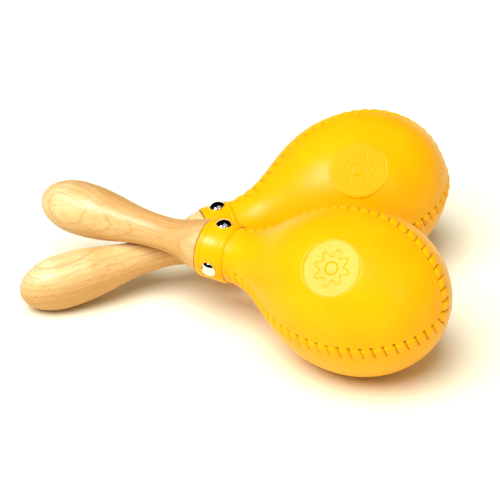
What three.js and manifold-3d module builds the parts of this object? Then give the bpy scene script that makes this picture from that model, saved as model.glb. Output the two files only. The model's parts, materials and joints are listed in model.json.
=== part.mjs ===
// A matched pair of maracas lying crossed on a table. Each one has a pear-shaped head of two shells
// that a lace holds together, a collar nailed round its neck, a turned wooden handle whose tenon
// fills the neck, and loose shot inside the head.
// Millimetres and degrees, +Z up. The origin is on the table, under the middle of the pair.

import * as THREE from "three";
import { mergeVertices } from "three/addons/utils/BufferGeometryUtils.js";
import Module from "manifold-3d";

const wasm = await Module();
wasm.setup();

// ---- Driving dimensions ----

// A station is a distance along a maraca's axis, from the butt of its handle.
const MARACA_LENGTH = 269;
const HEAD_STATION = 215; // where the head is widest
const HEAD_RADIUS = 47.5;
const NECK_RADIUS = 16.2; // outside of the shells under the collar
const NECK_FLARE = 28; // length over which the neck stays slim
const HEAD_FULLNESS = 43; // length over which the head stays wide
const SHELL_WALL = 2.2;
const SEAM_ANGLE = 60; // each seam line, measured round the axis from the badge
const SEAM_BEND = 7; // distance from the tip over which the two seam lines meet in a bend

const BULB_STATION = 26.5; // where the handle's bulb is widest
const BULB_RADIUS = 16.2;
const WAIST_STATION = 84;
const WAIST_RADIUS = 10;
const SHOULDER_RADIUS = 16.7;
const SHOULDER_SWELL = 3; // how much the shoulder still widens as it runs out at the collar
const HANDLE_EASE = 0.45; // share of each stretch that its curve's control points take at each end
const TENON_LENGTH = 22;
const TENON_CHAMFER = 1.5;

const COLLAR_STATION = 117; // free edge of the collar, where the handle comes out
const COLLAR_LENGTH = 18;
const COLLAR_WALL = 1.1;
const COLLAR_ROUNDING = 0.4;

const LACE_WIDTH = 8.2;
const LACE_PROUD = 0.9; // height of the lace above the shells
const LACE_GROOVE = 0.9; // depth of the channel that the lace lies in
const LACE_CLEAR_OF_COLLAR = 1;

const BADGE_RADIUS = 16.5;
const BADGE_HEIGHT = 44.9; // of the badge's flat, above the maraca's axis
const BADGE_CUT = 8; // clears the crown of the shell above the flat

const NAIL_ANGLES = [-56, 48, 180]; // round the axis from the badge
const NAIL_STATION = 126.5;
const NAIL_HEAD_RADIUS = 4.8;
const NAIL_HEAD_HEIGHT = 2.1;
const NAIL_SHANK_RADIUS = 1.1;
const NAIL_TIP_RADIUS = 9; // distance of the nail's tip from the maraca's axis
const NAIL_TAPER = 2;

const SHOT_RADIUS = 3.2;
const SHOT_PITCH = 7.6;
const SHOT_ROWS = 3;
const SHOT_PER_ROW = 4;
const SHOT_GAP = 1.2; // keeps the shot clear of the flats of the faceted shell

const GAP = 0.3; // between pieces that touch

// Where each maraca lies: the place of its head's centre, the direction and rise of its axis from
// butt to tip, and how far it is rolled round its axis, so that its badge faces up and forward.
// The badge has its own station on each one, and leans towards the neck with the skin there.
const FRONT = {
  name: "front",
  head: [61, -123],
  yaw: -30.5,
  rise: 0.45,
  roll: 44.5,
  badge: { station: 214.5, lean: 0 },
};
const BACK = {
  name: "back",
  head: [67, -8],
  yaw: 17.2,
  rise: 9.55,
  roll: 41.5,
  badge: { station: 207.5, lean: 5 },
};

// ---- Smoothness ----

const ROUND_HEAD = 32;
const ROUND_HANDLE = 24;
const ROUND_BADGE = 28;
const ROUND_NAIL = 12;
const ROUND_HOLE = 8;
const STEPS_NECK = 9;
const STEPS_TIP = 6;
const STEPS_INSIDE_NECK = 6;
const STEPS_INSIDE_TIP = 5;
const STEPS_BUTT = 6;
const STEPS_HANDLE = 6;
const STEPS_DOME = 4;
const STEPS_BEND = 8;
const OUTLINE_FINENESS = 4; // times the steps above, where the outline is only measured
const MERGE_TOLERANCE = 1e-4;

// ---- Materials ----

const YELLOW = new THREE.MeshStandardMaterial({ color: 0xffc800, roughness: 0.42 });
const LACE_YELLOW = new THREE.MeshStandardMaterial({ color: 0xffc41a, roughness: 0.5 });
const WOOD = new THREE.MeshStandardMaterial({ color: 0xe2b878, roughness: 0.38 });
const NICKEL = new THREE.MeshStandardMaterial({ color: 0xd8d8dc, roughness: 0.12, metalness: 1 });
const SHOT_STEEL = new THREE.MeshStandardMaterial({ color: 0x6f7378, roughness: 0.35, metalness: 1 });

// ---- Helpers ----

const radians = THREE.MathUtils.degToRad;
const COLLAR_END = COLLAR_STATION + COLLAR_LENGTH;
const COLLAR_RADIUS = NECK_RADIUS + GAP + COLLAR_WALL;
const FAR = 4 * HEAD_RADIUS;
const CLEAR_OF_COLLAR = 2 * COLLAR_RADIUS;
const X_AXIS = new THREE.Vector3(1, 0, 0);
const Y_AXIS = new THREE.Vector3(0, 1, 0);
const Z_AXIS = new THREE.Vector3(0, 0, 1);

// A point of a turned profile: its station and its distance from the axis.
function at(station, radius) {
  return new THREE.Vector2(radius, station);
}

// Turns a profile of stations and radii round the maraca's axis, which lies along +X.
function turned(profile, segments) {
  return new THREE.LatheGeometry(profile, segments).rotateZ(-Math.PI / 2);
}

function solidOf(geometry) {
  const bare = geometry.clone();
  bare.deleteAttribute("normal");
  bare.deleteAttribute("uv");
  const merged = mergeVertices(bare, MERGE_TOLERANCE);
  return new wasm.Manifold(
    new wasm.Mesh({
      numProp: 3,
      vertProperties: new Float32Array(merged.attributes.position.array),
      triVerts: new Uint32Array(merged.index.array),
    }),
  );
}

function geometryOf(solid) {
  const mesh = solid.getMesh();
  const geometry = new THREE.BufferGeometry();
  geometry.setAttribute("position", new THREE.BufferAttribute(mesh.vertProperties, 3));
  geometry.setIndex(new THREE.BufferAttribute(mesh.triVerts, 1));
  geometry.computeVertexNormals();
  return geometry;
}

function mesh(name, geometry, material) {
  const piece = new THREE.Mesh(geometry, material);
  piece.name = name;
  return piece;
}

// ---- Head ----

// The neck and head's outline, from the collar's end to the tip, moved outwards by an offset.
function headOutline(offset, neckSteps, tipSteps) {
  const neck = new THREE.CubicBezierCurve(
    at(COLLAR_END, NECK_RADIUS + offset),
    at(COLLAR_END + NECK_FLARE, NECK_RADIUS + offset),
    at(HEAD_STATION - HEAD_FULLNESS, HEAD_RADIUS + offset),
    at(HEAD_STATION, HEAD_RADIUS + offset),
  );
  const tip = new THREE.EllipseCurve(
    0,
    HEAD_STATION,
    HEAD_RADIUS + offset,
    MARACA_LENGTH - HEAD_STATION + offset,
    0,
    Math.PI / 2,
  );
  const points = [...neck.getPoints(neckSteps), ...tip.getPoints(tipSteps).slice(1)];
  points.at(-1).x = 0;
  return points;
}

// A closed skin between two offsets of the head's outline, open at the given station of the neck.
function headSkin(start, inner, outer, insideSteps) {
  const outside = [at(start, NECK_RADIUS + outer), ...headOutline(outer, STEPS_NECK, STEPS_TIP)];
  const inside = [at(start, NECK_RADIUS + inner), ...headOutline(inner, ...insideSteps)];
  return solidOf(turned([...outside, ...inside.reverse(), outside[0].clone()], ROUND_HEAD));
}

// A prism along the whole maraca, over the sector between the two seam lines. Its two faces are
// moved outwards by a shift, and their edge over the axis is bent round the tip.
function badgeSector(shift) {
  const seam = new THREE.Vector2(Math.sin(radians(SEAM_ANGLE)), Math.cos(radians(SEAM_ANGLE)));
  const apex = new THREE.Vector2(0, -shift / seam.x);
  const bend = apex.clone().addScaledVector(seam, SEAM_BEND);
  const end = apex.clone().addScaledVector(seam, FAR);
  const outline = new THREE.Shape();
  outline.moveTo(-end.x, end.y);
  outline.lineTo(-bend.x, bend.y);
  outline.quadraticCurveTo(apex.x, apex.y, bend.x, bend.y);
  outline.lineTo(end.x, end.y);
  const prism = new THREE.ExtrudeGeometry(outline, {
    depth: 2 * MARACA_LENGTH,
    bevelEnabled: false,
    curveSegments: STEPS_BEND,
  });
  // The outline's x and y become the maraca's Y and Z, and the extrusion runs along +X.
  prism.applyMatrix4(new THREE.Matrix4().makeBasis(Y_AXIS, Z_AXIS, X_AXIS));
  return solidOf(prism);
}

// A round bar that stands on the maraca's axis, between two heights above it.
function radialBar(radius, low, high, angle, station, segments) {
  const bar = new THREE.CylinderGeometry(radius, radius, high - low, segments);
  bar.translate(0, (low + high) / 2, 0);
  bar.rotateX(Math.PI / 2 + radians(angle));
  bar.translate(station, 0, 0);
  return solidOf(bar);
}

function nailHoles() {
  const holes = NAIL_ANGLES.map((angle) =>
    radialBar(
      NAIL_SHANK_RADIUS + GAP,
      NAIL_TIP_RADIUS - GAP,
      CLEAR_OF_COLLAR,
      angle,
      NAIL_STATION,
      ROUND_HOLE,
    ),
  );
  return holes.reduce((all, hole) => all.add(hole));
}

// The strip of a skin that runs along both seam lines, this far to each side of them.
function seamStrip(skin, halfWidth) {
  return skin.intersect(badgeSector(halfWidth)).subtract(badgeSector(-halfWidth));
}

// Both shells before they are parted at the seam: the wall, the channel for the lace, and the holes.
function headWall() {
  const insideSteps = [STEPS_INSIDE_NECK, STEPS_INSIDE_TIP];
  const wall = headSkin(COLLAR_STATION, -SHELL_WALL, 0, insideSteps);
  const channelSkin = headSkin(COLLAR_END, -LACE_GROOVE, LACE_PROUD, [STEPS_NECK, STEPS_TIP]);
  const channel = seamStrip(channelSkin, LACE_WIDTH / 2 + GAP);
  return wall.subtract(channel).subtract(nailHoles());
}

// A round bar under or over the badge's flat, from one height above the flat to another.
function badgeBar(low, high, { station, lean }) {
  const bar = new THREE.CylinderGeometry(BADGE_RADIUS, BADGE_RADIUS, high - low, ROUND_BADGE);
  bar.rotateX(Math.PI / 2);
  bar.translate(0, 0, (low + high) / 2);
  bar.rotateY(-radians(lean));
  bar.translate(station, 0, BADGE_HEIGHT);
  return solidOf(bar);
}

function badgeShell(wall, badge) {
  const boss = badgeBar(-SHELL_WALL, 0, badge);
  const cut = badgeBar(0, BADGE_CUT, badge);
  return geometryOf(wall.intersect(badgeSector(-GAP / 2)).add(boss).subtract(cut));
}

function plainShell(wall) {
  return geometryOf(wall.subtract(badgeSector(GAP / 2)));
}

function seamLace() {
  const start = COLLAR_END + LACE_CLEAR_OF_COLLAR;
  const skin = headSkin(COLLAR_END, GAP - LACE_GROOVE, LACE_PROUD, [STEPS_NECK, STEPS_TIP]);
  const clear = new THREE.CylinderGeometry(HEAD_RADIUS, HEAD_RADIUS, start, ROUND_HOLE);
  clear.rotateZ(Math.PI / 2);
  clear.translate(start / 2, 0, 0);
  return geometryOf(seamStrip(skin, LACE_WIDTH / 2).subtract(solidOf(clear)));
}

// ---- Collar and nails ----

function collar() {
  const inner = NECK_RADIUS + GAP;
  const profile = [
    at(COLLAR_STATION, inner),
    at(COLLAR_STATION, COLLAR_RADIUS - COLLAR_ROUNDING),
    at(COLLAR_STATION + COLLAR_ROUNDING, COLLAR_RADIUS),
    at(COLLAR_END - COLLAR_ROUNDING - GAP, COLLAR_RADIUS),
    at(COLLAR_END - GAP, COLLAR_RADIUS - COLLAR_ROUNDING),
    at(COLLAR_END - GAP, inner),
    at(COLLAR_STATION, inner),
  ];
  return geometryOf(solidOf(turned(profile, ROUND_HEAD)).subtract(nailHoles()));
}

// A dome-headed nail that points at the maraca's axis, with its head just clear of the collar.
function nail(angle) {
  const seat = COLLAR_RADIUS + GAP;
  const dome = new THREE.EllipseCurve(0, seat, NAIL_HEAD_RADIUS, NAIL_HEAD_HEIGHT, 0, Math.PI / 2);
  const profile = [
    new THREE.Vector2(0, NAIL_TIP_RADIUS),
    new THREE.Vector2(NAIL_SHANK_RADIUS, NAIL_TIP_RADIUS + NAIL_TAPER),
    new THREE.Vector2(NAIL_SHANK_RADIUS, seat),
    ...dome.getPoints(STEPS_DOME),
  ];
  profile.at(-1).x = 0;
  const geometry = new THREE.LatheGeometry(profile, ROUND_NAIL);
  geometry.rotateX(Math.PI / 2 + radians(angle));
  geometry.translate(NAIL_STATION, 0, 0);
  return geometry;
}

// ---- Handle ----

function handleProfile() {
  const butt = new THREE.EllipseCurve(
    0,
    BULB_STATION,
    BULB_RADIUS,
    BULB_STATION,
    -Math.PI / 2,
    0,
  );
  const toWaist = (WAIST_STATION - BULB_STATION) * HANDLE_EASE;
  const grip = new THREE.CubicBezierCurve(
    at(BULB_STATION, BULB_RADIUS),
    at(BULB_STATION + toWaist, BULB_RADIUS),
    at(WAIST_STATION - toWaist, WAIST_RADIUS),
    at(WAIST_STATION, WAIST_RADIUS),
  );
  const shoulderStation = COLLAR_STATION - GAP;
  const toShoulder = (shoulderStation - WAIST_STATION) * HANDLE_EASE;
  const shoulder = new THREE.CubicBezierCurve(
    at(WAIST_STATION, WAIST_RADIUS),
    at(WAIST_STATION + toShoulder, WAIST_RADIUS),
    at(shoulderStation - toShoulder, SHOULDER_RADIUS - SHOULDER_SWELL),
    at(shoulderStation, SHOULDER_RADIUS),
  );
  const tenonRadius = NECK_RADIUS - SHELL_WALL - GAP;
  const tenonEnd = COLLAR_STATION + TENON_LENGTH;
  const points = [
    ...butt.getPoints(STEPS_BUTT),
    ...grip.getPoints(STEPS_HANDLE).slice(1),
    ...shoulder.getPoints(STEPS_HANDLE).slice(1),
    at(shoulderStation, tenonRadius),
    at(tenonEnd - TENON_CHAMFER, tenonRadius),
    at(tenonEnd, tenonRadius - TENON_CHAMFER),
    at(tenonEnd, 0),
  ];
  points[0].x = 0;
  return points;
}

function handle() {
  return geometryOf(solidOf(turned(handleProfile(), ROUND_HANDLE)).subtract(nailHoles()));
}

// ---- Shot ----

// How far a shot's centre can be from the centre of a round space, straight down, in a lane that
// stands off from that centre by the given distances.
function laneHeight(spaceRadius, across, along) {
  return Math.sqrt((spaceRadius - SHOT_RADIUS - SHOT_GAP) ** 2 - across ** 2 - along ** 2);
}

// The shot lies in rows at the bottom of the head, each one in its own vertical lane.
function shot(name, centre) {
  const pieces = [];
  for (let row = 0; row < SHOT_ROWS; row++) {
    for (let place = 0; place < SHOT_PER_ROW; place++) {
      const along = (place - (SHOT_PER_ROW - 1) / 2) * SHOT_PITCH;
      const across = (row - (SHOT_ROWS - 1) / 2) * SHOT_PITCH;
      const number = String(pieces.length + 1).padStart(2, "0");
      const ball = new THREE.IcosahedronGeometry(SHOT_RADIUS, 1);
      const piece = mesh(`${name}_shot_${number}`, ball, SHOT_STEEL);
      const drop = laneHeight(HEAD_RADIUS - SHELL_WALL, across, along);
      piece.position.set(centre.x + along, centre.y + across, centre.z - drop);
      pieces.push(piece);
    }
  }
  return pieces;
}

// ---- The pair ----

// The height of the head's centre when the head rests on the table with its axis at this rise.
function restHeight(rise) {
  const outline = headOutline(0, OUTLINE_FINENESS * STEPS_NECK, OUTLINE_FINENESS * STEPS_TIP);
  const across = Math.cos(radians(rise));
  const along = Math.sin(radians(rise));
  return Math.max(...outline.map((p) => p.x * across - (p.y - HEAD_STATION) * along));
}

function maraca({ name, head, yaw, rise, roll, badge }) {
  const wall = headWall();
  const stations = new THREE.Group();
  stations.position.x = -HEAD_STATION;
  stations.add(
    mesh(`${name}_handle`, handle(), WOOD),
    mesh(`${name}_badge_shell`, badgeShell(wall, badge), YELLOW),
    mesh(`${name}_plain_shell`, plainShell(wall), YELLOW),
    mesh(`${name}_seam_lace`, seamLace(), LACE_YELLOW),
    mesh(`${name}_collar`, collar(), YELLOW),
    ...NAIL_ANGLES.map((angle, i) => mesh(`${name}_nail_${i + 1}`, nail(angle), NICKEL)),
  );
  const body = new THREE.Group();
  body.add(stations);
  body.position.set(head[0], head[1], restHeight(rise));
  body.rotation.set(radians(roll), -radians(rise), radians(yaw), "ZYX");
  return [body, ...shot(name, body.position)];
}

const pair = new THREE.Group();
pair.add(...maraca(BACK), ...maraca(FRONT));

// Puts the origin at the middle of the pair's underside.
pair.updateMatrixWorld(true);
const box = new THREE.Box3().setFromObject(pair, true);
const middle = box.getCenter(new THREE.Vector3());
pair.position.set(-middle.x, -middle.y, -box.min.z);

const part = new THREE.Group();
part.add(pair);

export default part;
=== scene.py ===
import json
import math

import bmesh
import bpy
import numpy as np
from mathutils import Matrix, Vector


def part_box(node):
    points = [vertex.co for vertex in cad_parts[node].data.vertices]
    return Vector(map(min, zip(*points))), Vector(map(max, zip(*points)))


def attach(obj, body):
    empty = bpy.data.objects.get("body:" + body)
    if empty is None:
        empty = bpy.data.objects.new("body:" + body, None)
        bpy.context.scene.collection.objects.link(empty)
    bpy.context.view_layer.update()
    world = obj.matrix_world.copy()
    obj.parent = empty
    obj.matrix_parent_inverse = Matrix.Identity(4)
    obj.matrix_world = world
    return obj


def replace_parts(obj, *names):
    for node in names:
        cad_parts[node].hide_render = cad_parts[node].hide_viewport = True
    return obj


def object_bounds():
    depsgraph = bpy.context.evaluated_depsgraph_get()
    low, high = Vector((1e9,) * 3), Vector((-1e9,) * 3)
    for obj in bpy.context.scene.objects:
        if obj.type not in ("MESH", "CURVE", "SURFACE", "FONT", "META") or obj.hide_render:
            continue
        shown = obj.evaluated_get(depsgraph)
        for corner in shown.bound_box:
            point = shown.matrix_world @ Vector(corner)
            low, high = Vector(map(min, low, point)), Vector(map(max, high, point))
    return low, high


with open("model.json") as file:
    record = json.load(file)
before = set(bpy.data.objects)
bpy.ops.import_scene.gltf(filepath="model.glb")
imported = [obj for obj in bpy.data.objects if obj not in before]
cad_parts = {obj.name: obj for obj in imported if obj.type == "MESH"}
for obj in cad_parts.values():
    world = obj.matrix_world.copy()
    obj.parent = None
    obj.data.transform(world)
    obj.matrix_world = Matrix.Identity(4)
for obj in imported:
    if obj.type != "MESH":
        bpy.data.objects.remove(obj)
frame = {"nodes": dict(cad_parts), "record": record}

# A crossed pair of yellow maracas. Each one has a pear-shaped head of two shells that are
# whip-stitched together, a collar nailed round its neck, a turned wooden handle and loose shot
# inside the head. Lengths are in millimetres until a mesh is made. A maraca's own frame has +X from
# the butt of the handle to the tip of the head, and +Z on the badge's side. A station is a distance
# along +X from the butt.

cad_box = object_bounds()
record = frame["record"]
middle = (cad_box[0] + cad_box[1]) / 2

MM = 0.001
SIDES = ("front", "back")

# ---- The CAD model's driving dimensions ----

GAP = 0.3  # between pieces that touch
MARACA_LENGTH = 269
HEAD_STATION = 215
HEAD_RADIUS = 47.5
NECK_RADIUS = 16.2
NECK_FLARE = 28
HEAD_FULLNESS = 43
SHELL_WALL = 2.2
SEAM_ANGLE = math.radians(60)
SEAM_BEND = 7

BULB_STATION = 26.5
BULB_RADIUS = 16.2
WAIST_STATION = 84
WAIST_RADIUS = 10
SHOULDER_RADIUS = 16.7
SHOULDER_SWELL = 3
HANDLE_EASE = 0.45
TENON_RADIUS = 13.7
TENON_END = 139
TENON_CHAMFER = 1.5

COLLAR_STATION = 117
COLLAR_END = 134.7
COLLAR_INSIDE = 16.5
COLLAR_RADIUS = 17.6

BADGE_STATION = {"front": 214.5, "back": 207.5}
BADGE_LEAN = {"front": 0, "back": math.radians(5)}  # towards the neck
BADGE_RADIUS = 16.5
BADGE_HEIGHT = 44.9

NAIL_ANGLES = (-56, 48, 180)
NAIL_STATION = 126.5
NAIL_HEAD_RADIUS = 4.8
NAIL_SEAT = COLLAR_RADIUS + GAP
NAIL_DOME_HEIGHT = 2.1
NAIL_SKIRT = 1  # how far the head reaches down into the collar's hole
NAIL_SHANK_RADIUS = 1.1
NAIL_TIP_RADIUS = 9
NAIL_TAPER = 2

SHOT_RADIUS = 3.2

# ---- The visual model's own dimensions ----

# Across the seam, offsets are negative on the badge's side and positive on the plain side.
LACE_START = 125  # station, under the collar
BADGE_SHELL_EDGE = -4.3
PLAIN_SHELL_EDGE = 3.6
STITCH_INNER_EDGE = -5.2
STITCH_OUTER_EDGE = 4.5
STITCH_PITCH = 6.4
STITCH_SLANT = -math.tan(math.radians(15))
STITCH_PROUD = 1.0
STITCH_SINK = 0.03
STITCH_BOTTOM = -1.9
STITCH_FOOT = (0.06, -0.3)  # past the outer edge, and the height there, under the skin
STITCH_RISE = (-4.6, -1.4)  # offsets over which a stitch rises
STITCH_DIP = (2.2, 4.3)  # offsets over which it falls again
STITCH_DIP_SHARE = 0.6
STITCH_CREST_FALL = 0.45  # share of its height that it loses towards its slits
STITCH_GROWTH = (134, 143)  # stations over which the stitches rise out of the neck
SLIT_DEPTH = 0.9
SLIT_START = (-4.4, -3.3)  # offsets over which the slits deepen
SLIT_END = (3.3, STITCH_OUTER_EDGE)  # offsets over which they run out
STITCH_HOLES = ((-3.55, 0.95, 1.2), (3.2, 0.7, 0.7))  # offset, radius and depth
LEAST_SLIT_SHADE = 0.2  # share of the full painted slit shade, where the upper seam line starts at the collar
# Where the painted slit shade grows to the full, along the seam in lengths of its half.
SLIT_SHADE_GROWTH = {"front": (0.35, 0.65), "back": (0.9, 1.1)}
SLIT_SHADE_DEPTH = (0.25, 0.85)  # depths over which the painted shade darkens a slit

BADGE_LIP = 1.4  # width of the soft step round the badge
BADGE_BACKING = (1.5, 6)  # distances past the badge over which the lowered inside runs out
BADGE_CLEARING = 3  # how far past the badge the shell's own grid is cut away
BADGE_GROOVE_HALF = 0.3
BADGE_GROOVE_DEPTH = 0.2
ROSETTE_RADIUS = 8.6
ROSETTE_WAVE = 1.9
ROSETTE_LOBES = 8
ROSETTE_RING = 3.6
ROSETTE_LINE = 0.42
ROSETTE_DEPTH = 0.28

COLLAR_ROUNDING = 0.5
COLLAR_GROOVES = ((COLLAR_STATION + 3.1, 0.3, 0.252), (COLLAR_END - 2.7, 0.25, 0.108))
GROOVE_FLOOR = 0.35  # share of a groove's half width that is its flat floor
# The collar's edge on the head's side, as the points of a curve down towards the neck: distance
# back from the collar's end, and height above its inside.
COLLAR_FOLD = ((2.3, 1.1), (1.3, 1.1), (0.9, 0.3), (0, 0.1))

NAIL_RIM = ((0, 0.5), (0.12, 0.12), (0.3, 0))  # above the skirt's foot, and in from the head's rim

SHOULDER_STEP = 1.6  # depth of the gap that parts the shoulder from the collar
SHOULDER_EDGE = ((0.85, 0.05), (0.6, 0.3), (0.5, SHOULDER_STEP))  # back from its end, and inwards

SHOT_DENTS = 9
SHOT_DENT_DEPTH = 0.03  # share of the radius
SHOT_DENT_SPREAD = (0.9, 1)  # cosines of the angle from a dent's middle

# ---- Smoothness ----

STEPS_OUTLINE = 1200
STEPS_UNDER_COLLAR = 60
STEPS_SEAM_LINE = 1500
STEPS_SEAM_BEND = 60
SHELL_STEP = 1.05
APEX_REACH = 12
APEX_STEPS = 16
APEX_CLEAR = 0.004  # keeps the last row from shrinking to a point
PLAIN_COLUMNS = 150
BADGE_COLUMNS = 103
BADGE_APPROACH = (0.2, 0.4, 0.6, 0.8, 0.93)  # shares of the way from the shell's grid to the lip
BADGE_EDGE_RINGS = (1.4, 1.15, 0.9, 0.7, 0.5, 0.35, 0.2, 0.1, 0, -0.1, -0.2, -0.35, -0.5, -0.7)
BADGE_INNER_RINGS = (BADGE_RADIUS - 0.9, 0.3, -0.21)  # first radius, last radius and step
ROUND_COLLAR = 128
ROUND_HANDLE = 96
ROUND_NAIL = 48
STEPS_ROUNDING = 6
STEPS_FOLD = 10
STEPS_DOME = 18
STEPS_BUTT = 40
STEPS_GRIP = 60
STEPS_SHOULDER = 40

# One stitch along the seam, closer near the slit that parts it from the next one.
STITCH_SAMPLES = np.array(
    (0, 0.014, 0.03, 0.05, 0.08, 0.13, 0.2, 0.29, 0.39)
    + (0.5, 0.61, 0.71, 0.8, 0.87, 0.92, 0.95, 0.97, 0.986)
)
# Offsets across the seam, closer where the holes are.
STITCH_OFFSETS = np.concatenate(
    [
        np.linspace(STITCH_INNER_EDGE, -4.7, 3),
        np.linspace(-4.5, -2.5, 11),
        np.linspace(-2.2, 2.0, 8),
        np.linspace(2.2, STITCH_OUTER_EDGE, 12),
        [STITCH_OUTER_EDGE + STITCH_FOOT[0]],
    ]
)
TINY = 1e-6

# ---- Materials' sizes and colours ----

PLASTIC_WAVES = 16
PLASTIC_CLOUDS = 22
PLASTIC_PATCHES = 9
WOOD_RINGS = 3.4
WOOD_SWAY = 24  # length of the bends in the growth layers
WOOD_SWAY_REACH = 9  # how far they go
# Depth along the facing over which the painted shade on the handle's lower side fades out.
WOOD_SHADE_DEPTH = 20
WOOD_FIBRES = 0.8
WOOD_STREAKS = 4
WOOD_CLOUDS = 30
WOOD_PORES = 1.5
WOOD_PORE_PATCHES = 7
# The facing also points to each handle's lit side: the painted shade falls on the side away from it.
WOOD_FACING = {"front": (-0.08, -0.35, 0.93), "back": (0.03, 0.75, 0.66)}
WOOD_SHIFT = {"front": 0.8, "back": 2.0}

YELLOW_LIGHT = (0.95, 0.455, 0.001)
YELLOW_DEEP = (0.94, 0.415, 0.0)
YELLOW_COLLAR_DEEP = (0.94, 0.42, 0.0)
# Painted shade for the stitches' slits and holes.
SLIT_SHADE_COLOUR = (0.42, 0.22, 0.01)
WOOD_PLAIN = (0.72, 0.45, 0.2)
WOOD_PALE = (0.88, 0.7, 0.37)
WOOD_HONEY = (0.76, 0.5, 0.19)
# Painted shade on the handles' lower sides.
WOOD_UNDERSIDE_SHADE = (0.62, 0.32, 0.09)
WOOD_GROWTH_LINE = (0.52, 0.25, 0.07)
WOOD_BROWN = (0.42, 0.19, 0.05)
WOOD_PORE = (0.28, 0.13, 0.05)
NICKEL_GREY = (0.86, 0.84, 0.8)
STEEL_GREY = (0.42, 0.43, 0.45)
FLOOR_WHITE = (0.96, 0.94, 0.75)
BACKDROP_WHITE = (1, 1, 0.98, 1)
WORLD_WHITE = (1, 0.96, 0.82, 1)

# ---- Floor, light and camera ----

FLOOR_REACH = 8.0  # metres
BACKDROP_HEIGHT = 2.0  # metres
BACKDROP_SIDES = 96
WORLD_STRENGTH = 0.27
SUN_DIRECTION = (-0.27, -0.37, 0.885)
SUN_STRENGTH = 4.2
SUN_SPREAD = 50  # degrees
# Direction from the object, distance and size in metres, and watts.
SOFTBOXES = {
    "highlight": ((-0.52, -0.34, 0.785), 2.4, 0.8, 125),
    "badge_highlight": ((0.03, -0.45, 0.89), 2.4, 0.4, 5),
    "overhead_panel": ((0.15, -0.1, 0.98), 2.4, 1.7, 5),
    "right_highlight": ((0.57, -0.65, 0.49), 1.5, 0.3, 2.5),
}
CAMERA_ELEVATION = 31.34  # degrees
CAMERA_DISTANCE = 1.293  # metres, from the point that the camera looks at
CAMERA_LENS = 160.6  # millimetres
CAMERA_AIM = (7.5, -12.1, 0)  # from the middle of the object's box
CAMERA_CLIP = (0.01, 100)  # metres


# ---- Small helpers ----

def smoothstep(low, high, value):
    share = np.clip((value - low) / (high - low), 0, 1)
    return share * share * (3 - 2 * share)


def bezier(a, b, c, d, steps):
    """Points of a cubic curve, the first one left out."""
    t = np.linspace(0, 1, steps + 1)[1:, None]
    a, b, c, d = (np.array(p, float) for p in (a, b, c, d))
    return (1 - t) ** 3 * a + 3 * (1 - t) ** 2 * t * b + 3 * (1 - t) * t**2 * c + t**3 * d


def quarter(centre, radii, start, end, steps):
    """Points of an elliptic arc between two angles in degrees, from +station towards +radius."""
    angle = np.radians(np.linspace(start, end, steps + 1))
    station = centre[0] + radii[0] * np.cos(angle)
    radius = centre[1] + radii[1] * np.sin(angle)
    return np.stack([station, radius], 1)


def make_mesh(name, points, faces, matrix, material, slot, smooth_angle=50):
    """A mesh object in the row frame, from points in millimetres in its maraca's own frame."""
    data = bpy.data.meshes.new(name)
    turn, shift = np.array(matrix)[:3, :3], np.array(matrix)[:3, 3]
    data.from_pydata((np.asarray(points) * MM @ turn.T + shift).tolist(), [], faces)
    data.validate()
    shape = bmesh.new()
    shape.from_mesh(data)
    bmesh.ops.recalc_face_normals(shape, faces=shape.faces)
    shape.to_mesh(data)
    shape.free()
    data.shade_smooth()
    data.set_sharp_from_angle(angle=math.radians(smooth_angle))
    data.materials.append(material)
    piece = bpy.data.objects.new(name, data)
    bpy.context.scene.collection.objects.link(piece)
    return piece


def grid_faces(index, wrap=False):
    """Quads between the rows and columns of an array of vertex numbers."""
    if wrap:
        index = np.hstack([index, index[:, :1]])
    a, b = index[:-1, :-1].ravel(), index[:-1, 1:].ravel()
    c, d = index[1:, 1:].ravel(), index[1:, :-1].ravel()
    return np.stack([a, b, c, d], 1).tolist()


def turned(profile, segments):
    """Points and faces of a profile of (station, radius) turned round the X axis.
    A profile that starts and ends on the axis closes there, and any other one closes on itself."""
    profile = np.asarray(profile, float)
    on_axis = profile[0][1] < TINY
    rings = profile[1:-1] if on_axis else profile
    angle = np.arange(segments) * 2 * math.pi / segments
    points = np.stack(
        [
            np.repeat(rings[:, :1], segments, 1),
            rings[:, 1:] * np.sin(angle),
            rings[:, 1:] * np.cos(angle),
        ],
        2,
    ).reshape(-1, 3)
    index = np.arange(len(points)).reshape(len(rings), segments)
    if not on_axis:
        return points, grid_faces(np.vstack([index, index[:1]]), wrap=True)
    faces = grid_faces(index, wrap=True)
    first, last = len(points), len(points) + 1
    points = np.vstack([points, [profile[0][0], 0, 0], [profile[-1][0], 0, 0]])
    turn = np.roll(index, -1, 1)
    faces += [[first, b, a] for a, b in zip(index[0].tolist(), turn[0].tolist())]
    faces += [[last, a, b] for a, b in zip(index[-1].tolist(), turn[-1].tolist())]
    return points, faces


# ---- Where each maraca lies ----

def maraca_matrix(side):
    """The place of a maraca's own frame, from its badge mount and its collar."""
    mount = next(m for m in record["mounts"] if m["name"] == side + "_badge_flat")
    badge = Vector(mount["pos_m"])
    low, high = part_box(side + "_collar")
    collar = (low + high) / 2
    across = Vector(mount["axis"]).cross(badge - collar).normalized()
    collar_to_badge = BADGE_STATION[side] - (COLLAR_STATION + COLLAR_END) / 2
    pitch = Matrix.Rotation(math.atan2(BADGE_HEIGHT, collar_to_badge), 3, across)
    along = pitch @ (badge - collar).normalized()
    up = along.cross(across)
    origin = badge - up * BADGE_HEIGHT * MM - along * BADGE_STATION[side] * MM
    return Matrix.Translation(origin) @ Matrix((along, across, up)).transposed().to_4x4()


# ---- The skin of the head ----

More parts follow.
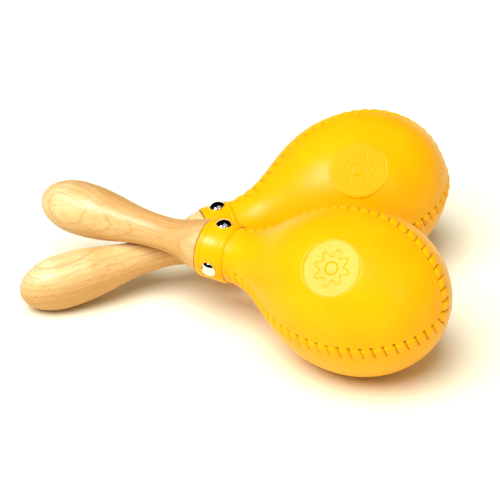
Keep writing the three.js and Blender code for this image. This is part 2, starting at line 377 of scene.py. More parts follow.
def head_skin():
    """The outline from under the collar to the tip, as dense samples: length along it, station,
    radius, and the outward normal's two parts."""
    neck_station = COLLAR_END + GAP
    under_collar = np.linspace(COLLAR_STATION, neck_station, STEPS_UNDER_COLLAR)
    start = np.stack([under_collar, np.full(STEPS_UNDER_COLLAR, NECK_RADIUS)], 1)
    neck = bezier(
        (neck_station, NECK_RADIUS),
        (neck_station + NECK_FLARE, NECK_RADIUS),
        (HEAD_STATION - HEAD_FULLNESS, HEAD_RADIUS),
        (HEAD_STATION, HEAD_RADIUS),
        STEPS_OUTLINE,
    )
    tip_radii = (MARACA_LENGTH - HEAD_STATION, HEAD_RADIUS)
    tip = quarter((HEAD_STATION, 0), tip_radii, 90, 0, STEPS_OUTLINE)[1:]
    points = np.vstack([start, neck, tip])
    step = np.hypot(*np.diff(points, axis=0).T)
    length = np.concatenate([[0], np.cumsum(step)])
    tangent = np.stack([np.gradient(points[:, 0], length), np.gradient(points[:, 1], length)], 1)
    tangent /= np.hypot(*tangent.T)[:, None]
    return {
        "length": length,
        "station": points[:, 0],
        "radius": points[:, 1],
        "out_station": -tangent[:, 1],
        "out_radius": tangent[:, 0],
    }


SKIN = head_skin()
EQUATOR = float(np.interp(HEAD_STATION, SKIN["station"], SKIN["length"]))


def on_skin(length, angle, height):
    """Points of the head's skin: a length along the outline, an angle round the axis from the badge
    and a height above the skin."""
    value = {k: np.interp(length, SKIN["length"], SKIN[k]) for k in SKIN if k != "length"}
    radius = value["radius"] + value["out_radius"] * height
    station = value["station"] + value["out_station"] * height
    y, z = radius * np.sin(angle), radius * np.cos(angle)
    return np.stack(np.broadcast_arrays(station, y, z), -1)


def length_near_tip(radius):
    """The length along the outline at a radius on the tip's side of the widest place."""
    tip = SKIN["length"] >= EQUATOR
    return np.interp(radius, SKIN["radius"][tip][::-1], SKIN["length"][tip][::-1])


# ---- The seam: two lines along the head that meet in a bend at the tip ----

def half_seam():
    """One half of the seam from the collar to the bend's middle: length along the outline, and the
    place and the outward direction across the seam, seen along the axis."""
    reach = SEAM_BEND * math.sin(SEAM_ANGLE)
    start = np.interp(LACE_START, SKIN["station"], SKIN["length"])
    bend_length = float(length_near_tip(SEAM_BEND))
    straight = np.linspace(start, bend_length, STEPS_SEAM_LINE)
    radius = np.interp(straight, SKIN["length"], SKIN["radius"])
    side = np.linspace(reach, 0, STEPS_SEAM_BEND)[1:]
    rise = SEAM_BEND * math.cos(SEAM_ANGLE) / 2
    up = rise * (1 + (side / reach) ** 2)
    slope = 2 * rise * side / reach**2
    y = np.concatenate([radius * math.sin(SEAM_ANGLE), side])
    z = np.concatenate([radius * math.cos(SEAM_ANGLE), up])
    slope = np.concatenate([np.full(len(straight), 1 / math.tan(SEAM_ANGLE)), slope])
    length = np.concatenate([straight, length_near_tip(np.hypot(side, up))])
    out = np.stack([slope, np.full(len(slope), -1.0)], 1) / np.hypot(slope, 1)[:, None]
    points = on_skin(length, np.arctan2(y, z), 0)
    along = np.concatenate([[0], np.cumsum(np.linalg.norm(np.diff(points, axis=0), axis=1))])
    return {
        "along": along,
        "length": length,
        "y": y,
        "z": z,
        "out_y": out[:, 0],
        "out_z": out[:, 1],
    }


SEAM = half_seam()
HALF_SEAM = float(SEAM["along"][-1])
TIP_RADII = (10, 25)  # between which going straight across turns into going round the axis


def across_seam(along, offset):
    """The length along the outline and the angle round the axis of a point that stands off from the
    seam. Along runs from the collar round the tip and back to the collar. The point goes straight
    across the seam near the tip, and round the axis everywhere else."""
    along, offset = np.broadcast_arrays(along, offset)
    near = np.minimum(along, 2 * HALF_SEAM - along)
    side = np.where(along <= HALF_SEAM, 1.0, -1.0)
    v = {k: np.interp(near, SEAM["along"], SEAM[k]) for k in SEAM if k != "along"}
    y, z = v["y"] + offset * v["out_y"], v["z"] + offset * v["out_z"]
    seam_radius = np.hypot(v["y"], v["z"])
    on_ring = np.where(v["length"] < EQUATOR, 1.0, smoothstep(*TIP_RADII, seam_radius))
    radius = np.hypot(y, z) * (1 - on_ring) + seam_radius * on_ring
    length = np.where(on_ring < 1, length_near_tip(radius), v["length"])
    return length, side * np.arctan2(y, z)


def edge_angle(offset):
    """The lengths and angles of the line that stands off from the seam, from collar to bend."""
    length, angle = across_seam(SEAM["along"], offset)
    order = np.argsort(length)
    return length[order], np.abs(angle)[order]


# ---- Shells ----

def shell_rows(apex):
    """Lengths along the outline from the shell's start to its apex, closer and closer there."""
    near = apex - APEX_REACH * (np.arange(1, APEX_STEPS + 1)[::-1] / APEX_STEPS) ** 2
    rest = np.linspace(0, near[0], int(near[0] / SHELL_STEP) + 1)[:-1]
    return np.concatenate([rest, near, [apex - APEX_CLEAR]])


def shell_loops(offset, columns, around_back):
    """The outer and inner grids of a shell, from edge to edge, over all its rows."""
    line_length, line_angle = edge_angle(offset)
    rows = shell_rows(line_length[-1])
    edge = np.interp(rows, line_length, line_angle)[:, None]
    share = np.linspace(-1, 1, columns)[None, :]
    angle = math.pi + share * (math.pi - edge) if around_back else share * edge
    rows = np.broadcast_to(rows[:, None], angle.shape)
    return on_skin(rows, angle, 0), on_skin(rows, angle, -SHELL_WALL)


def closed_shell_faces(outer, inner, skip=None):
    """Faces that close an outer grid and an inner grid into one skin with thickness. Skip marks
    the faces of the outer grid that are left out."""
    faces = grid_faces(outer[:, ::-1])
    if skip is not None:
        faces = [face for face, out in zip(faces, skip[:, ::-1].ravel()) if not out]
    faces += grid_faces(inner)
    for column in (0, -1):
        rim = np.stack([outer[:, column], inner[:, column]], 1)
        faces += grid_faces(rim if column == -1 else rim[:, ::-1])
    for row in (0, -1):
        rim = np.stack([outer[row], inner[row]], 0)
        faces += grid_faces(rim if row == 0 else rim[::-1])
    return faces


def plain_half(side, matrix, material):
    outside, inside = shell_loops(PLAIN_SHELL_EDGE, PLAIN_COLUMNS, True)
    count = outside[..., 0].size
    outer = np.arange(count).reshape(outside.shape[:2])
    points = np.vstack([outside.reshape(-1, 3), inside.reshape(-1, 3)])
    faces = closed_shell_faces(outer, outer + count)
    piece = make_mesh(side + "_plain_half", points, faces, matrix, material, "shell_yellow")
    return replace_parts(piece, side + "_plain_shell")


def crown(x, y):
    """Height of the head's skin above the axis, over a place near the badge."""
    radius = np.interp(x, SKIN["station"], SKIN["radius"])
    return np.sqrt(radius**2 - y**2)


def rosette(radius, angle):
    """Depth of the badge's engraved lines: a lobed ring and a round one."""
    lobed = ROSETTE_RADIUS + ROSETTE_WAVE * np.cos(ROSETTE_LOBES * angle)
    depth = np.zeros(np.broadcast(radius, angle).shape)
    for line in (lobed, ROSETTE_RING):
        depth = np.maximum(depth, np.exp(-2 * ((radius - line) / ROSETTE_LINE) ** 2))
    return depth * ROSETTE_DEPTH


def badge_ring(radius, angle, station, lean):
    """A ring of points on the badge or on the soft step round it."""
    x, y = radius * np.cos(angle), radius * np.sin(angle)
    flat = BADGE_HEIGHT + x * math.tan(lean)
    step = smoothstep(0, BADGE_LIP, radius - BADGE_RADIUS)
    groove = BADGE_GROOVE_DEPTH * math.exp(-(((radius - BADGE_RADIUS) / BADGE_GROOVE_HALF) ** 2))
    height = flat + (crown(station + x, y) - flat) * step - groove
    if radius < BADGE_RADIUS - BADGE_LIP:
        height = height - rosette(radius, angle)
    return np.stack([station + x, y, height], 1)


def badge_patch(border, station, lean):
    """Rings of points from the border of the hole in the shell's grid to the badge's middle."""
    x, y = border[:, 0] - station, border[:, 1]
    angle = np.arctan2(y, x)
    lip = BADGE_RADIUS + BADGE_LIP
    rings = []
    for share in BADGE_APPROACH:
        px = x + (lip * np.cos(angle) - x) * share
        py = y + (lip * np.sin(angle) - y) * share
        rings.append(np.stack([px + station, py, crown(px + station, py)], 1))
    edge = BADGE_RADIUS + np.array(BADGE_EDGE_RINGS)
    for radius in np.concatenate([edge, np.arange(*BADGE_INNER_RINGS)]):
        rings.append(badge_ring(radius, angle, station, lean))
    return np.stack(rings)


def sink_under_badge(inside, station, lean):
    """Lowers the inner surface under the badge, so that the wall stays thick there."""
    away = inside[..., 0] - station
    backing = BADGE_HEIGHT + away * math.tan(lean) - SHELL_WALL
    runs_out = (BADGE_RADIUS + BADGE_BACKING[0], BADGE_RADIUS + BADGE_BACKING[1])
    under = 1 - smoothstep(*runs_out, np.hypot(away, inside[..., 1]))
    inside[..., 2] += (np.minimum(inside[..., 2], backing) - inside[..., 2]) * under


def badge_hole(outer, outside, station):
    """The faces to leave out of the outer grid for the badge, and the loop of vertices round them."""
    reach = BADGE_RADIUS + BADGE_CLEARING
    near = (np.abs(outside[..., 0] - station) < reach) & (np.abs(outside[..., 1]) < reach)
    row = np.where(near.any(1))[0]
    column = np.where(near.all(0, where=near.any(1)[:, None]))[0]
    top, bottom, left, right = row[0], row[-1], column[0], column[-1]
    skip = np.zeros((outer.shape[0] - 1, outer.shape[1] - 1), bool)
    skip[top:bottom, left:right] = True
    block = outer[top : bottom + 1, left : right + 1]
    loop = np.concatenate([block[0, :-1], block[:-1, -1], block[-1, :0:-1], block[:0:-1, 0]])
    return skip, loop


def badge_half(side, matrix, material):
    station, lean = BADGE_STATION[side], BADGE_LEAN[side]
    outside, inside = shell_loops(BADGE_SHELL_EDGE, BADGE_COLUMNS, False)
    sink_under_badge(inside, station, lean)
    count = outside[..., 0].size
    outer = np.arange(count).reshape(outside.shape[:2])
    skip, loop = badge_hole(outer, outside, station)
    patch = badge_patch(outside.reshape(-1, 3)[loop], station, lean)
    rings = 2 * count + np.arange(patch[..., 0].size).reshape(patch.shape[:2])
    middle_point = 2 * count + rings.size
    centre = [[station, 0, BADGE_HEIGHT]]
    grids = [grid.reshape(-1, 3) for grid in (outside, inside, patch)]
    points = np.vstack([*grids, centre])
    faces = closed_shell_faces(outer, outer + count, skip)
    faces += grid_faces(np.vstack([loop[None, :], rings])[:, ::-1], wrap=True)
    last = rings[-1].tolist()
    faces += [[middle_point, b, a] for a, b in zip(last, last[1:] + last[:1])]
    used = np.zeros(len(points), bool)
    used[np.concatenate([np.ravel(f) for f in faces])] = True
    renumber = np.cumsum(used) - 1
    faces = [[int(renumber[v]) for v in f] for f in faces]
    piece = make_mesh(side + "_badge_half", points[used], faces, matrix, material, "shell_yellow")
    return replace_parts(piece, side + "_badge_shell")


# ---- Stitches ----

def stitch_height(share, offset, growth, from_slit):
    """Height of the stitches above the skin. Share is 0 and 1 at the slits and 0.5 between them,
    and from_slit is the distance to the nearest slit, along the seam."""
    plump = smoothstep(*STITCH_RISE, offset) * (1 - STITCH_DIP_SHARE * smoothstep(*STITCH_DIP, offset))
    pad = STITCH_PROUD * plump - STITCH_SINK
    from_middle = np.abs(2 * share - 1)
    swell = np.sqrt(np.clip(1 - from_middle**4, 0, 1))
    crest = 1 - STITCH_CREST_FALL * from_middle**2
    slit = SLIT_DEPTH * smoothstep(*SLIT_START, offset) * (1 - smoothstep(*SLIT_END, offset))
    height = (pad * crest + slit) * swell - slit
    for place, radius, depth in STITCH_HOLES:
        hole = np.exp(-((np.hypot(from_slit, offset - place) / radius) ** 3))
        height = height * (1 - hole) - depth * hole
    height = growth * height - (1 - growth) * STITCH_SINK
    height = np.where(offset <= STITCH_INNER_EDGE + TINY, -STITCH_SINK, height)
    return np.where(offset > STITCH_OUTER_EDGE + TINY, STITCH_FOOT[1], height)


def stitches(side, matrix, material):
    """All the stitches as one closed strip along the seam. Its attribute sunk_mm says how deep
    each point lies under the skin, weighted for the painted shade that darkens the slits."""
    offset = STITCH_OFFSETS[None, :]
    margin = abs(STITCH_SLANT) * max(-STITCH_INNER_EDGE, STITCH_OUTER_EDGE)
    run = 2 * HALF_SEAM - 2 * margin
    number = round(run / STITCH_PITCH)
    pitch = run / number
    share = np.concatenate([k + STITCH_SAMPLES for k in range(number)] + [[number]])[:, None]
    along = margin + share * pitch + offset * STITCH_SLANT
    length, angle = across_seam(along, offset)
    fraction = share % 1
    from_slit = np.minimum(fraction, 1 - fraction) * pitch
    growth = smoothstep(*STITCH_GROWTH, on_skin(length, angle, 0)[..., 0])
    height = stitch_height(fraction, offset, growth, from_slit)
    top = on_skin(length, angle, height)
    ends = [-1, 0]
    under = on_skin(length[:, ends], angle[:, ends], STITCH_BOTTOM)
    loops = np.concatenate([top, under], 1)
    points = loops.reshape(-1, 3)
    index = np.arange(len(points)).reshape(loops.shape[:2])
    faces = grid_faces(index, wrap=True)
    faces += [index[0, ::-1].tolist(), index[-1].tolist()]
    piece = make_mesh(side + "_stitches", points, faces, matrix, material, "lace_yellow", 70)
    # Painted shade in the slits: weaker where the upper seam line starts at the collar, full further
    # along.
    shade_share = LEAST_SLIT_SHADE + (1 - LEAST_SLIT_SHADE) * smoothstep(*SLIT_SHADE_GROWTH[side], along / HALF_SEAM)
    sunk = np.pad(np.clip(-height, 0, None) * shade_share, ((0, 0), (0, len(ends))))
    depth = piece.data.attributes.new("sunk_mm", "FLOAT", "POINT")
    depth.data.foreach_set("value", sunk.ravel())
    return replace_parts(piece, side + "_seam_lace")


# ---- Collar and nails ----

def groove(station, half, depth):
    """Profile points of a groove round the collar."""
    floor = half * GROOVE_FLOOR
    return [
        (station - half, COLLAR_RADIUS),
        (station - floor, COLLAR_RADIUS - depth),
        (station + floor, COLLAR_RADIUS - depth),
        (station + half, COLLAR_RADIUS),
    ]


def neck_collar(side, matrix, material):
    corner = (COLLAR_STATION + COLLAR_ROUNDING, COLLAR_RADIUS - COLLAR_ROUNDING)
    free_edge = quarter(corner, (COLLAR_ROUNDING, COLLAR_ROUNDING), 180, 90, STEPS_ROUNDING)
    fold = [(COLLAR_END - back, COLLAR_INSIDE + height) for back, height in COLLAR_FOLD]
    profile = [
        (COLLAR_STATION, COLLAR_INSIDE),
        *free_edge,
        *(point for settings in COLLAR_GROOVES for point in groove(*settings)),
        *bezier(*fold, STEPS_FOLD),
        (COLLAR_END, COLLAR_INSIDE),
    ]
    shape = turned(profile, ROUND_COLLAR)
    piece = make_mesh(side + "_neck_collar", *shape, matrix, material, "collar_yellow", 35)
    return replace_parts(piece, side + "_collar")


def dome_nail(side, number, angle, matrix, material):
    seat = NAIL_SEAT - NAIL_SKIRT
    ball = (NAIL_HEAD_RADIUS**2 + NAIL_DOME_HEIGHT**2) / (2 * NAIL_DOME_HEIGHT)
    edge = math.degrees(math.asin(NAIL_HEAD_RADIUS / ball))
    centre = (NAIL_SEAT + NAIL_DOME_HEIGHT - ball, 0)
    profile = [
        (NAIL_TIP_RADIUS, 0),
        (NAIL_TIP_RADIUS + NAIL_TAPER, NAIL_SHANK_RADIUS),
        (seat, NAIL_SHANK_RADIUS),
        *((seat + height, NAIL_HEAD_RADIUS - inwards) for height, inwards in NAIL_RIM),
        *quarter(centre, (ball, ball), edge, 0, STEPS_DOME),
    ]
    turn = Matrix.Rotation(-math.radians(angle), 4, "X")
    outwards = turn @ Matrix.Rotation(-math.pi / 2, 4, "Y")
    place = matrix @ Matrix.Translation((NAIL_STATION * MM, 0, 0)) @ outwards
    name = f"{side}_dome_nail_{number}"
    piece = make_mesh(name, *turned(profile, ROUND_NAIL), place, material, "nail_nickel")
    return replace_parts(piece, f"{side}_nail_{number}")


# ---- Handle ----

def turned_handle(side, matrix, material):
    butt = quarter((BULB_STATION, 0), (BULB_STATION, BULB_RADIUS), 180, 90, STEPS_BUTT)
    to_waist = (WAIST_STATION - BULB_STATION) * HANDLE_EASE
    grip = bezier(
        (BULB_STATION, BULB_RADIUS),
        (BULB_STATION + to_waist, BULB_RADIUS),
        (WAIST_STATION - to_waist, WAIST_RADIUS),
        (WAIST_STATION, WAIST_RADIUS),
        STEPS_GRIP,
    )
    shoulder_station = COLLAR_STATION - GAP
    to_shoulder = (shoulder_station - WAIST_STATION) * HANDLE_EASE
    shoulder = bezier(
        (WAIST_STATION, WAIST_RADIUS),
        (WAIST_STATION + to_shoulder, WAIST_RADIUS),
        (shoulder_station - to_shoulder, SHOULDER_RADIUS - SHOULDER_SWELL),
        (shoulder_station, SHOULDER_RADIUS),
        STEPS_SHOULDER,
    )
    edge = [(shoulder_station - back, SHOULDER_RADIUS - inwards) for back, inwards in SHOULDER_EDGE]
    profile = [
        *butt,
        *grip,
        *shoulder[:-1],
        *edge,
        (shoulder_station, SHOULDER_RADIUS - SHOULDER_STEP),
        (shoulder_station, TENON_RADIUS),
        (TENON_END - TENON_CHAMFER, TENON_RADIUS),
        (TENON_END, TENON_RADIUS - TENON_CHAMFER),
        (TENON_END, 0),
    ]
    shape = turned(profile, ROUND_HANDLE)
    piece = make_mesh(side + "_turned_handle", *shape, matrix, material, "handle_wood", 40)
    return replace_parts(piece, side + "_handle")


# ---- Shot ----

def pellet(node, material, seed):
    """A steel ball with the slight dents of tumbling, where its CAD node lies."""
    data = bpy.data.meshes.new(node)
    shape = bmesh.new()
    bmesh.ops.create_icosphere(shape, subdivisions=3, radius=SHOT_RADIUS * MM)
    dents = np.random.default_rng(seed).normal(size=(SHOT_DENTS, 3))
    dents /= np.linalg.norm(dents, axis=1)[:, None]
    for vertex in shape.verts:
        facing = dents @ np.array(vertex.co.normalized())
        vertex.co *= 1 - SHOT_DENT_DEPTH * float(smoothstep(*SHOT_DENT_SPREAD, facing.max()))
    shape.to_mesh(data)
    shape.free()
    data.shade_smooth()
    data.materials.append(material)
    piece = bpy.data.objects.new(node.replace("shot", "pellet"), data)
    bpy.context.scene.collection.objects.link(piece)
    low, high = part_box(node)
    piece.matrix_world = Matrix.Translation((low + high) / 2)
    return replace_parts(piece, node)


# ---- Materials ----

def rgba(colour):
    """The value of a colour socket, from a colour or a grey."""
    return (*colour, 1) if isinstance(colour, tuple) else (colour, colour, colour, 1)


class Nodes:
    """Adds nodes to a material and links them."""

    def __init__(self, name, colour, roughness, metallic=0.0):
        self.material = bpy.data.materials.new(name)
        self.material.use_nodes = True
        self.tree = self.material.node_tree
        self.shader = self.tree.nodes["Principled BSDF"]
        self.shader.inputs["Base Color"].default_value = rgba(colour)
        self.shader.inputs["Roughness"].default_value = roughness
        self.shader.inputs["Metallic"].default_value = metallic

    def add(self, kind, settings=None, **inputs):
        node = self.tree.nodes.new(kind)
        for key, value in (settings or {}).items():
            setattr(node, key, value)
        for key, value in inputs.items():
            self.set(node, key.replace("_", " "), value)
        return node

    def set(self, node, key, value):
        key = int(key) if key.isdigit() else key
        if isinstance(value, bpy.types.NodeSocket):
            self.tree.links.new(value, node.inputs[key])
        else:
            node.inputs[key].default_value = value

    def position(self):
        """Coordinates in the row frame."""
        return self.add("ShaderNodeTexCoord").outputs["Object"]

    def own_position(self, matrix):
        """Coordinates in a maraca's own frame."""
        place = self.position()
        mapping = self.add("ShaderNodeMapping", {"vector_type": "TEXTURE"}, Vector=place)
        mapping.inputs["Location"].default_value = matrix.to_translation()
        mapping.inputs["Rotation"].default_value = matrix.to_euler("XYZ")
        return mapping.outputs["Vector"]

    def stretched(self, place, along):
        """Coordinates whose features are drawn out along X."""
        mapping = self.add("ShaderNodeMapping", Vector=place)
        mapping.inputs["Scale"].default_value = (along, 1, 1)
        return mapping.outputs["Vector"]

    def noise(self, place, size_mm, detail, roughness=0.55):
        node = self.add("ShaderNodeTexNoise", Vector=place, Scale=per_mm(size_mm), Detail=detail)
        node.inputs["Roughness"].default_value = roughness
        return node.outputs["Fac"]

    def ramp(self, value, *stops):
        """A colour or a grey for each value, from pairs of a value and its colour or grey."""
        node = self.add("ShaderNodeValToRGB", Fac=value)
        elements = node.color_ramp.elements
        while len(elements) < len(stops):
            elements.new(0.5)
        for element, (position, colour) in zip(elements, stops):
            element.position = position
            element.color = rgba(colour)
        return node.outputs["Color"]

    def math(self, operation, a, b=0.0):
        node = self.add("ShaderNodeMath", {"operation": operation})
        self.set(node, "0", a)
        self.set(node, "1", b)
        return node.outputs["Value"]

    def mix(self, share, a, b):
        """Colour a where the share is 0, and colour b where it is 1."""
        node = self.add("ShaderNodeMix", {"data_type": "RGBA"})
        self.set(node, "0", share)
        for socket, colour in (("6", a), ("7", b)):
            self.set(node, socket, rgba(colour) if isinstance(colour, tuple) else colour)
        return node.outputs[2]

    def bump(self, height, distance_mm, strength, normal=None):
        distance = distance_mm * MM
        node = self.add("ShaderNodeBump", Height=height, Distance=distance, Strength=strength)
        if normal is not None:
            self.tree.links.new(normal, node.inputs["Normal"])
        return node.outputs["Normal"]

    def use(self, key, value):
        self.set(self.shader, key, value)


def per_mm(size):
    """A texture scale whose features are about this many millimetres apart."""
    return 1 / (size * MM)


def yellow_plastic(name, deep, roughness, grain_mm, grain_depth):
    """Moulded plastic with a fine leather grain and slightly uneven colour, with painted shade in the
    grain's creases and in any stitches' slits.
    """
    n = Nodes(name, YELLOW_LIGHT, roughness)
    place = n.position()
    edges = {"feature": "DISTANCE_TO_EDGE"}
    cells = n.add("ShaderNodeTexVoronoi", edges, Vector=place, Scale=per_mm(grain_mm))
    creases = n.ramp(cells.outputs["Distance"], (0.0, 0.0), (0.22, 0.85), (0.6, 1.0))
    fine = n.noise(place, grain_mm * 0.45, 2.0)
    height = n.math("ADD", creases, n.math("MULTIPLY", fine, 0.5))
    waves = n.bump(n.noise(place, PLASTIC_WAVES, 1.5), 0.25, 0.5)
    n.use("Normal", n.bump(height, grain_depth, 1.0, waves))
    cloud = n.ramp(n.noise(place, PLASTIC_CLOUDS, 3.0), (0.36, 0.0), (0.66, 1.0))
    colour = n.mix(cloud, YELLOW_LIGHT, deep)
    # Painted shade: the grain's creases are darkened towards the deep yellow.
    crease_shade = n.math("MULTIPLY", n.math("SUBTRACT", 1.0, creases), 0.16)
    colour = n.mix(crease_shade, colour, deep)
    # Painted shade: the stitches' slits and holes darken with their sunk_mm depth.
    sunk = n.add("ShaderNodeAttribute", {"attribute_name": "sunk_mm"})
    slit_shade = n.ramp(sunk.outputs["Fac"], (SLIT_SHADE_DEPTH[0], 0.0), (SLIT_SHADE_DEPTH[1], 0.85))
    n.use("Base Color", n.mix(slit_shade, colour, SLIT_SHADE_COLOUR))
    patches = n.math("MULTIPLY", n.noise(place, PLASTIC_PATCHES, 2.0), 0.1)
    n.use("Roughness", n.math("ADD", roughness - 0.05, patches))
    n.shader.inputs["Specular IOR Level"].default_value = 0.1
    return n.material


def growth_depth(n, place, facing, shift_mm):
    """How deep a place lies across the wood's growth layers, which sway a little."""
    sway = n.noise(n.stretched(place, 0.35), WOOD_SWAY, 2.0, 0.5)
    shift = n.math("MULTIPLY", n.math("SUBTRACT", sway, 0.5), WOOD_SWAY_REACH * MM)
    layer = n.add("ShaderNodeVectorMath", {"operation": "DOT_PRODUCT"})
    n.tree.links.new(place, layer.inputs[0])
    layer.inputs[1].default_value = facing
    return n.math("ADD", n.math("ADD", layer.outputs["Value"], shift), shift_mm * MM)


def lacquered_wood(side):
    """Pale close-grained wood, with painted shade on the side away from its facing. Its facing is the
    direction across the growth layers, in the maraca's own frame, and its shift moves the layers along
    that."""
    n = Nodes(side + "_handle_wood", WOOD_PLAIN, 0.38)
    place = n.own_position(PLACE[side])
    depth = growth_depth(n, place, WOOD_FACING[side], WOOD_SHIFT[side])
    ring = n.math("FRACT", n.math("MULTIPLY", depth, per_mm(WOOD_RINGS)))
    band = n.ramp(ring, (0.0, 0.2), (0.2, 0.0), (0.8, 0.25), (0.93, 1.0), (1.0, 0.2))
    fibres = n.noise(n.stretched(place, 0.04), WOOD_FIBRES, 4.0, 0.65)
    streaks = n.noise(n.stretched(place, 0.1), WOOD_STREAKS, 4.0)
    cloud = n.noise(place, WOOD_CLOUDS, 2.0)
    colour = n.mix(n.ramp(cloud, (0.35, 0.0), (0.7, 1.0)), WOOD_PALE, WOOD_HONEY)
    colour = n.mix(n.ramp(streaks, (0.46, 0.0), (0.68, 0.8)), colour, WOOD_HONEY)
    # Painted shade: the wood darkens towards the side away from its facing, the handle's lower side.
    into_shade = n.math("MULTIPLY", depth, per_mm(WOOD_SHADE_DEPTH))
    underside_shade = n.ramp(into_shade, (0.1, 0.8), (0.7, 0.0))
    colour = n.mix(underside_shade, colour, WOOD_UNDERSIDE_SHADE)
    colour = n.mix(n.math("MULTIPLY", band, 0.5), colour, WOOD_GROWTH_LINE)
    colour = n.mix(n.ramp(fibres, (0.5, 0.0), (0.72, 0.6)), colour, WOOD_BROWN)
    along_grain = n.stretched(place, 0.16)
    dashes = n.add("ShaderNodeTexVoronoi", Vector=along_grain, Scale=per_mm(WOOD_PORES))
    pores = n.ramp(dashes.outputs["Distance"], (0.06, 1.0), (0.13, 0.0))
    sparse = n.ramp(n.noise(place, WOOD_PORE_PATCHES, 2.0), (0.5, 0.0), (0.62, 1.0))
    pores = n.math("MULTIPLY", pores, sparse)
    n.use("Base Color", n.mix(n.math("MULTIPLY", pores, 0.55), colour, WOOD_PORE))
    relief = n.math("SUBTRACT", n.math("MULTIPLY", fibres, 0.5), pores)
    n.use("Normal", n.bump(relief, 0.03, 0.6))
    n.use("Roughness", n.math("ADD", 0.34, n.math("MULTIPLY", fibres, 0.14)))
    n.shader.inputs["Specular IOR Level"].default_value = 0.2
    n.shader.inputs["Coat Weight"].default_value = 0.04
    n.shader.inputs["Coat Roughness"].default_value = 0.3
    return n.material


def polished_metal(name, colour, roughness, scuff_mm):
    n = Nodes(name, colour, roughness, metallic=1.0)
    smudge = n.noise(n.position(), scuff_mm, 4.0)
    scuffed = n.math("MULTIPLY", smudge, roughness * 0.6)
    n.use("Roughness", n.math("ADD", roughness * 0.7, scuffed))
    n.use("Base Color", n.mix(smudge, colour, tuple(c * 0.93 for c in colour)))
    n.use("Normal", n.bump(smudge, 0.01, 0.3))
    return n.material


def floor_material():
    n = Nodes("pale_floor", FLOOR_WHITE, 0.9)
    n.shader.inputs["Specular IOR Level"].default_value = 0.0
    return n.material


def backdrop_material():
    n = Nodes("backdrop_white", (0, 0, 0), 1.0)
    n.shader.inputs["Specular IOR Level"].default_value = 0.0
    n.shader.inputs["Emission Color"].default_value = BACKDROP_WHITE
    n.shader.inputs["Emission Strength"].default_value = 1.0
    return n.material


SHELL_YELLOW = yellow_plastic("shell_yellow", YELLOW_DEEP, 0.3, 1.1, 0.04)
LACE_YELLOW = yellow_plastic("lace_yellow", YELLOW_DEEP, 0.34, 0.9, 0.03)
COLLAR_YELLOW = yellow_plastic("collar_yellow", YELLOW_COLLAR_DEEP, 0.28, 1.3, 0.02)
NICKEL = polished_metal("nail_nickel", NICKEL_GREY, 0.1, 2.5)
STEEL = polished_metal("shot_steel", STEEL_GREY, 0.3, 1.5)
PLACE = {side: maraca_matrix(side) for side in SIDES}
WOOD = {side: lacquered_wood(side) for side in SIDES}


# ---- The pair ----

def maraca(side):
    matrix = PLACE[side]
    pieces = [
        badge_half(side, matrix, SHELL_YELLOW),
        plain_half(side, matrix, SHELL_YELLOW),
        stitches(side, matrix, LACE_YELLOW),
        neck_collar(side, matrix, COLLAR_YELLOW),
        turned_handle(side, matrix, WOOD[side]),
    ]
    for number, angle in enumerate(NAIL_ANGLES, 1):
        pieces.append(dome_nail(side, number, angle, matrix, NICKEL))
    for piece in pieces:
        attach(piece, side + "_maraca")
    shot = sorted(node for node in frame["nodes"] if node.startswith(side + "_shot_"))
    for seed, node in enumerate(shot):
        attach(pellet(node, STEEL, seed), node)


for side in SIDES:
    maraca(side)


# ---- The studio ----

def staged(name, points, faces, material):
    data = bpy.data.meshes.new(name)
    data.from_pydata(points, [], faces)
    data.materials.append(material)
    piece = bpy.data.objects.new(name, data)
    bpy.context.scene.collection.objects.link(piece)
    return piece


def studio_floor():
    corners = [(-1, -1), (1, -1), (1, 1), (-1, 1)]
    points = [(x * FLOOR_REACH, y * FLOOR_REACH, cad_box[0].z) for x, y in corners]
    staged("floor", points, [[0, 1, 2, 3]], floor_material())


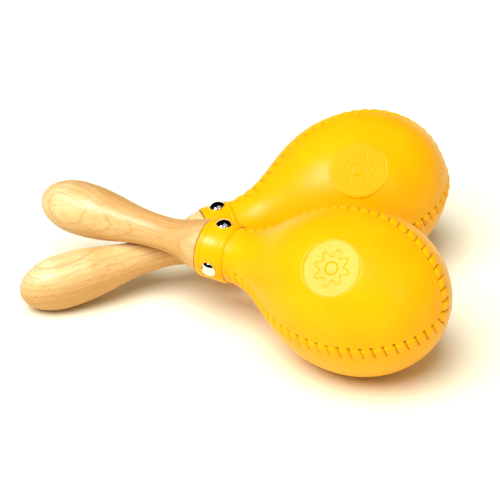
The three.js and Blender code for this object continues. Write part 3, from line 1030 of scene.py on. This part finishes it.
def studio_backdrop():
    """A low white wall far round the floor, which only the camera sees."""
    angle = np.arange(BACKDROP_SIDES) * 2 * math.pi / BACKDROP_SIDES
    ring = np.stack([np.cos(angle), np.sin(angle)], 1) * FLOOR_REACH
    heights = (cad_box[0].z, cad_box[0].z + BACKDROP_HEIGHT)
    points = np.vstack([np.column_stack([ring, np.full(BACKDROP_SIDES, z)]) for z in heights])
    index = np.arange(len(points)).reshape(2, BACKDROP_SIDES)
    faces = grid_faces(index, wrap=True)
    wall = staged("backdrop", points.tolist(), faces, backdrop_material())
    wall.visible_diffuse = False
    wall.visible_glossy = False
    wall.visible_shadow = False


def softbox(name, direction, distance, size, watts):
    """A square lamp that faces the object and only shows in its highlights."""
    light = bpy.data.lights.new(name, "AREA")
    light.size = size
    light.energy = watts
    lamp = bpy.data.objects.new(name, light)
    bpy.context.scene.collection.objects.link(lamp)
    lamp.visible_diffuse = False
    direction = Vector(direction).normalized()
    lamp.location = middle + direction * distance
    lamp.rotation_mode = "QUATERNION"
    lamp.rotation_quaternion = direction.to_track_quat("Z", "Y")


def overhead_light():
    """Even soft light from the front left, without highlights."""
    light = bpy.data.lights.new("overhead", "SUN")
    light.energy = SUN_STRENGTH
    light.angle = math.radians(SUN_SPREAD)
    lamp = bpy.data.objects.new("overhead", light)
    bpy.context.scene.collection.objects.link(lamp)
    lamp.visible_glossy = False
    lamp.rotation_mode = "QUATERNION"
    lamp.rotation_quaternion = Vector(SUN_DIRECTION).normalized().to_track_quat("Z", "Y")


def studio_world():
    world = bpy.data.worlds.new("studio")
    bpy.context.scene.world = world
    world.use_nodes = True
    world.cycles_visibility.glossy = False
    background = world.node_tree.nodes["Background"]
    background.inputs["Color"].default_value = WORLD_WHITE
    background.inputs["Strength"].default_value = WORLD_STRENGTH


def camera():
    data = bpy.data.cameras.new("camera")
    data.lens = CAMERA_LENS
    data.clip_start, data.clip_end = CAMERA_CLIP
    lens = bpy.data.objects.new("camera", data)
    bpy.context.scene.collection.objects.link(lens)
    elevation = math.radians(CAMERA_ELEVATION)
    aim = middle + Vector(CAMERA_AIM) * MM
    back = Vector((0, -math.cos(elevation), math.sin(elevation)))
    lens.location = aim + back * CAMERA_DISTANCE
    lens.rotation_mode = "QUATERNION"
    lens.rotation_quaternion = back.to_track_quat("Z", "Y")
    bpy.context.scene.camera = lens


studio_floor()
studio_backdrop()
studio_world()
overhead_light()
for name, settings in SOFTBOXES.items():
    softbox(name, *settings)
camera()
bpy.context.scene.view_settings.view_transform = "Standard"
